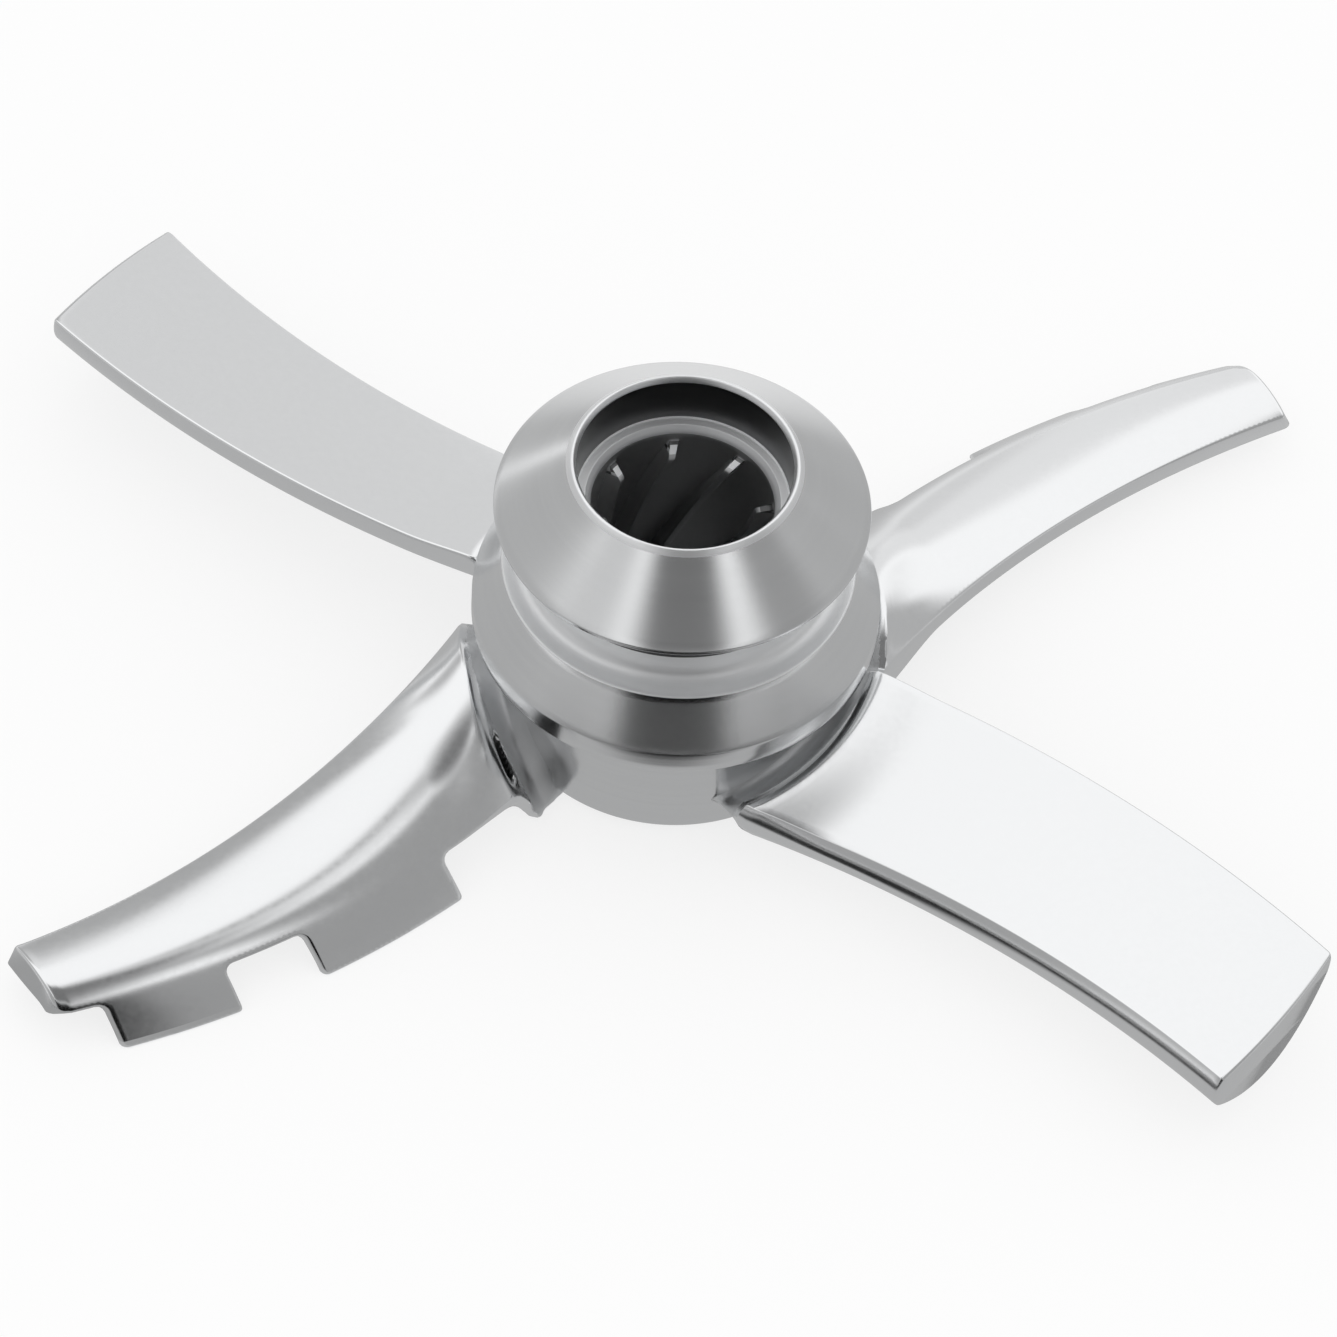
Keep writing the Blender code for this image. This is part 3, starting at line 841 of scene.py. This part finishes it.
def turned_steel(name, level, roughness, metallic):
    """Turned steel with the fine rings that the tool leaves."""
    material = bpy.data.materials.new(name)
    tree, shader = nodes_of(material)
    rings = ring_coordinates(tree)
    fine = noise_node(tree, rings, scale=14000.0, detail=3.0, roughness=0.7)
    broad = noise_node(tree, rings, scale=2600.0, detail=2.0)
    both = math_node(tree, "MULTIPLY", math_node(tree, "ADD", fine, broad), 0.5)
    tinted(tree, shader, both, low=level * 0.975, high=level * 1.015)
    shader.inputs["Metallic"].default_value = metallic
    rough = ranged(tree, broad, low=roughness * 0.94, high=roughness * 1.06)
    tree.links.new(rough, shader.inputs["Roughness"])
    bumped(tree, shader, both, distance=0.000002, strength=0.35)
    return material


def polished_steel(name, level, roughness, metallic):
    """Polished cast steel: nearly a mirror, with faint waves left from grinding and a fine haze."""
    material = bpy.data.materials.new(name)
    tree, shader = nodes_of(material)
    place = tree.nodes.new("ShaderNodeTexCoord").outputs["Object"]
    waves = noise_node(tree, place, scale=160.0, detail=1.0)
    haze = noise_node(tree, place, scale=2400.0, detail=3.0, roughness=0.6)
    tinted(tree, shader, haze, low=level * 0.985, high=level)
    shader.inputs["Metallic"].default_value = metallic
    rough = ranged(tree, haze, low=roughness * 0.85, high=roughness * 1.15)
    tree.links.new(rough, shader.inputs["Roughness"])
    bumped(tree, shader, waves, distance=0.00004, strength=0.25)
    return material


def hub_finish(face):
    """Name of the finish for a face of the hub. A line under the upper cone has the socket's dark
    finish, as painted shade.
    """
    height = face.center.z - HUB_BASE
    radius = math.hypot(face.center.x, face.center.y)
    seat = HUB_HEIGHT - SHELF_DEPTH
    rib_top = seat - LEAD_IN - RIB_START
    # The lip's rim gets the lighter lip finish: a painted highlight.
    if height > HUB_HEIGHT - LIP_DROP - FINISH_MARGIN and radius < LIP_OUTER:
        return "lip"
    if radius > MOUTH_RADIUS + MOUTH_MARGIN or height < FINISH_MARGIN:
        # A band on the neck under the upper cone gets the dark socket finish: painted shade.
        if NECK_SHADE < height < NECK_SHADE + NECK_SHADE_HEIGHT and radius < NECK_RADIUS + NECK_FILLET:
            return "socket"
        if SHELF_HEIGHT - SHELF_ROUND < height < CONE_LOW and radius < CONE_RADIUS - CONE_ROUND:
            return "groove"
        return "turned"
    # The socket's mouth above the seat gets the dark socket finish: painted shade in the recess.
    if height > seat + LEDGE_MARGIN:
        return "socket"
    if height > seat - LEAD_IN - FINISH_MARGIN:
        return "ledge"
    # Upper ends of the ribs: the tops at the back get the light ledge finish as a painted highlight,
    # the rest gets the dark socket finish as painted shade.
    if height > rib_top - RIB_TOP_DEPTH and radius < SPLINE_RADIUS - FINISH_MARGIN:
        lit = radius < RIB_TIP_RADIUS + RIB_LIT_DEPTH and face.center.y > RIB_LIT_FROM
        return "ledge" if lit else "socket"
    return "bore"


def blade_finish(face):
    """Name of the finish for a face of a blade. The slit's faces already carry the dark socket finish,
    as painted shade.
    """
    if face.material_index == FINISH_SLOTS["socket"]:
        return "socket"
    return "root" if math.hypot(face.center.x, face.center.y) < SATIN_ROOT else "polished"


def finish(body, materials, choice):
    """Gives a body all the materials and each of its faces the one that the choice names."""
    for material in materials:
        body.data.materials.append(material)
    for face in body.data.polygons:
        face.material_index = FINISH_SLOTS[choice(face)]


def build():
    """Makes the paddle."""
    paddle = hub("steel_paddle")
    blades = [
        flat_blade("flat_front"),
        flat_blade("flat_back"),
        toothed_blade("toothed_back", TEETH_SHORT),
        toothed_blade("toothed_front", TEETH_LONG),
    ]
    half_turn(blades[1])
    half_turn(blades[3])
    materials = []
    for name, (turned, level, roughness, metallic) in FINISHES.items():
        steel = turned_steel if turned else polished_steel
        materials.append(steel(name + "_steel", level, roughness, metallic))
    finish(paddle, materials, hub_finish)
    for blade in blades:
        finish(blade, materials, blade_finish)
    join(paddle, blades)
    paddle.data.shade_smooth()
    paddle.data.set_sharp_from_angle(angle=math.radians(SHARP_ANGLE))
    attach(paddle, "root")
    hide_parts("paddle")


def camera():
    """The photograph's view, from in front and above."""
    elevation = math.radians(CAMERA_ELEVATION)
    roll = math.radians(CAMERA_ROLL)
    eye = Vector((0.0, -CAMERA_DISTANCE * math.cos(elevation), CAMERA_DISTANCE * math.sin(elevation)))
    ahead = (Vector(CAMERA_TARGET) - eye).normalized()
    level = ahead.cross(Vector((0.0, 0.0, 1.0))).normalized()
    above = level.cross(ahead)
    right = level * math.cos(roll) + above * math.sin(roll)
    up = above * math.cos(roll) - level * math.sin(roll)
    lens = bpy.data.cameras.new("Camera")
    lens.sensor_width = SENSOR_WIDTH
    lens.lens = FOCAL_PIXELS / PHOTO_PIXELS * SENSOR_WIDTH
    lens.clip_start = CLIP_START
    viewer = bpy.data.objects.new("Camera", lens)
    place = Matrix((right, up, -ahead)).transposed().to_4x4()
    place.translation = eye + Vector((0.0, 0.0, HUB_BASE))
    viewer.matrix_world = place
    bpy.context.scene.collection.objects.link(viewer)
    bpy.context.scene.camera = viewer


def from_zenith(azimuth, tilt, distance):
    """A point seen from the object at an azimuth and a tilt from straight up, both in degrees."""
    a = math.radians(azimuth)
    t = math.radians(tilt)
    return Vector((math.sin(t) * math.cos(a), math.sin(t) * math.sin(a), math.cos(t))) * distance


def rectangle(name, x, y):
    """A level rectangle of the given half sizes about its origin."""
    mesh = bpy.data.meshes.new(name)
    mesh.from_pydata([(-x, -y, 0), (x, -y, 0), (x, y, 0), (-x, y, 0)], [], [(0, 1, 2, 3)])
    sheet = bpy.data.objects.new(name, mesh)
    bpy.context.scene.collection.objects.link(sheet)
    return sheet


def soft_glow(name, halves, level, soft):
    """A grey glow that fades out over the given distances towards the edges of a card."""
    material = bpy.data.materials.new(name)
    material.use_nodes = True
    tree = material.node_tree
    tree.nodes.clear()
    parts = tree.nodes.new("ShaderNodeSeparateXYZ")
    tree.links.new(tree.nodes.new("ShaderNodeTexCoord").outputs["Object"], parts.inputs["Vector"])
    fades = []
    for axis, half, fade in zip(("X", "Y"), halves, soft):
        edge = tree.nodes.new("ShaderNodeMapRange")
        edge.interpolation_type = "SMOOTHSTEP"
        tree.links.new(math_node(tree, "ABSOLUTE", parts.outputs[axis]), edge.inputs["Value"])
        edge.inputs["From Min"].default_value = half
        edge.inputs["From Max"].default_value = half - fade
        fades.append(edge.outputs["Result"])
    glow = tree.nodes.new("ShaderNodeEmission")
    glow.inputs["Color"].default_value = (level, level, level, 1.0)
    clear = tree.nodes.new("ShaderNodeBsdfTransparent")
    blend = tree.nodes.new("ShaderNodeMixShader")
    tree.links.new(math_node(tree, "MULTIPLY", *fades), blend.inputs["Fac"])
    tree.links.new(clear.outputs["BSDF"], blend.inputs[1])
    tree.links.new(glow.outputs["Emission"], blend.inputs[2])
    output = tree.nodes.new("ShaderNodeOutputMaterial")
    tree.links.new(blend.outputs["Shader"], output.inputs["Surface"])
    material.cycles.emission_sampling = "NONE"
    return material


def card(name, centre, size, level, soft, turn=0.0):
    """A soft-edged grey card that faces the object, or lies level. Only reflections show it."""
    halves = [side / 2.0 for side in size]
    sheet = rectangle(name, *halves)
    ahead = Vector((0.0, 0.0, 1.0)) if centre.z < LEVEL_CARD_BELOW else -centre
    facing = ahead.to_track_quat("Z", "Y").to_matrix().to_4x4()
    turned = Matrix.Rotation(math.radians(turn), 4, "Z")
    sheet.matrix_world = Matrix.Translation(centre) @ facing @ turned
    sheet.data.materials.append(soft_glow(name, halves, level, soft))
    for ray in ("camera", "diffuse", "shadow", "transmission", "volume_scatter"):
        setattr(sheet, "visible_" + ray, False)


def floor_and_world():
    """A white floor that keeps a light shadow, under an even white world."""
    floor = rectangle("floor", FLOOR_HALF, FLOOR_HALF)
    material = bpy.data.materials.new("floor_white")
    tree, shader = nodes_of(material)
    shader.inputs["Base Color"].default_value = (FLOOR_LEVEL, FLOOR_LEVEL, FLOOR_LEVEL, 1.0)
    shader.inputs["Roughness"].default_value = 1.0
    shader.inputs["Specular IOR Level"].default_value = 0.0
    paths = tree.nodes.new("ShaderNodeLightPath")
    seen = math_node(tree, "MAXIMUM", paths.outputs["Is Camera Ray"], paths.outputs["Is Glossy Ray"])
    seen = math_node(tree, "MAXIMUM", seen, paths.outputs["Is Transmission Ray"])
    white = tree.nodes.new("ShaderNodeEmission")
    blend = tree.nodes.new("ShaderNodeMixShader")
    tree.links.new(math_node(tree, "MULTIPLY", seen, FLOOR_GLOW), blend.inputs["Fac"])
    tree.links.new(shader.outputs["BSDF"], blend.inputs[1])
    tree.links.new(white.outputs["Emission"], blend.inputs[2])
    tree.links.new(blend.outputs["Shader"], tree.nodes["Material Output"].inputs["Surface"])
    floor.data.materials.append(material)
    world = bpy.data.worlds.new("World")
    world.use_nodes = True
    background = world.node_tree.nodes["Background"]
    background.inputs["Color"].default_value = (1.0, 1.0, 1.0, 1.0)
    background.inputs["Strength"].default_value = 1.0
    bpy.context.scene.world = world


def stage():
    """The floor, the world and the grey cards that the steel reflects."""
    floor_and_world()
    # Each card's name, centre, size, light, widths of its soft edges and, for one, its turn in degrees
    cards = (
        # On the floor
        ("card_floor_back", Vector((0.0, 0.25, 0.00008)), (1.60, 0.50), 0.80, (0.10, 0.01)),
        ("card_floor_left", Vector((-0.40, 0.25, 0.0001)), (0.80, 0.52), 0.48, (0.050, 0.02)),
        ("card_floor_right", Vector((0.40, 0.25, 0.0001)), (0.80, 0.52), 0.46, (0.050, 0.02)),
        ("card_under", Vector((0.0, -0.13, 0.0001)), (0.60, 0.34), 0.44, (0.10, 0.03)),
        ("flag_floor_near", Vector((0.001, -0.034, 0.0002)), (0.030, 0.036), 0.02, (0.010, 0.003)),
        ("flag_floor_far", Vector((0.008, -0.170, 0.0003)), (0.240, 0.270), 0.01, (0.070, 0.030)),
        ("card_teeth", Vector((-0.030, -0.036, 0.0004)), (0.050, 0.034), 0.34, (0.010, 0.003)),
        # Around the object
        ("card_left", from_zenith(187.0, 70.0, 0.60), (1.70, 0.60), 0.46, (0.18, 0.22)),
        ("card_right", from_zenith(-17.0, 70.0, 0.60), (1.30, 0.60), 0.44, (0.18, 0.22)),
        ("card_right_low", from_zenith(38.0, 84.0, 0.60), (0.90, 0.40), 0.44, (0.18, 0.12)),
        ("card_front_right", from_zenith(-38.0, 72.0, 0.55), (0.56, 0.50), 0.33, (0.14, 0.14)),
        ("card_front_left", from_zenith(-130.0, 72.0, 0.55), (0.46, 0.50), 0.36, (0.14, 0.14)),
        ("card_left_high", from_zenith(-142.0, 47.0, 0.56), (0.34, 0.30), 0.64, (0.12, 0.12)),
        ("card_back", from_zenith(113.0, 67.0, 0.50), (0.36, 0.50), 0.40, (0.09, 0.14)),
        # Behind the object
        ("card_behind_far", Vector((-0.020, 0.300, 0.140)), (0.220, 0.360), 0.80, (0.050, 0.060)),
        ("card_behind", Vector((-0.021, 0.100, 0.050)), (0.062, 0.140), 0.68, (0.010, 0.016)),
        # In front and above, to darken what faces the camera
        ("flag_front", from_zenith(-87.0, 78.0, 0.50), (0.80, 0.50), 0.005, (0.220, 0.12)),
        ("flag_camera", from_zenith(-84.0, 29.0, 0.50), (0.48, 0.67), 0.17, (0.13, 0.18)),
        ("flag_side", from_zenith(-19.0, 44.0, 0.40), (0.28, 0.32), 0.33, (0.09, 0.07)),
        ("flag_above", from_zenith(18.0, 12.6, 0.50), (0.12, 0.13), 0.32, (0.06, 0.065), 38.0),
    )
    for row in cards:
        card(*row)


build()
camera()
stage()
bpy.context.scene.view_settings.view_transform = "Standard"
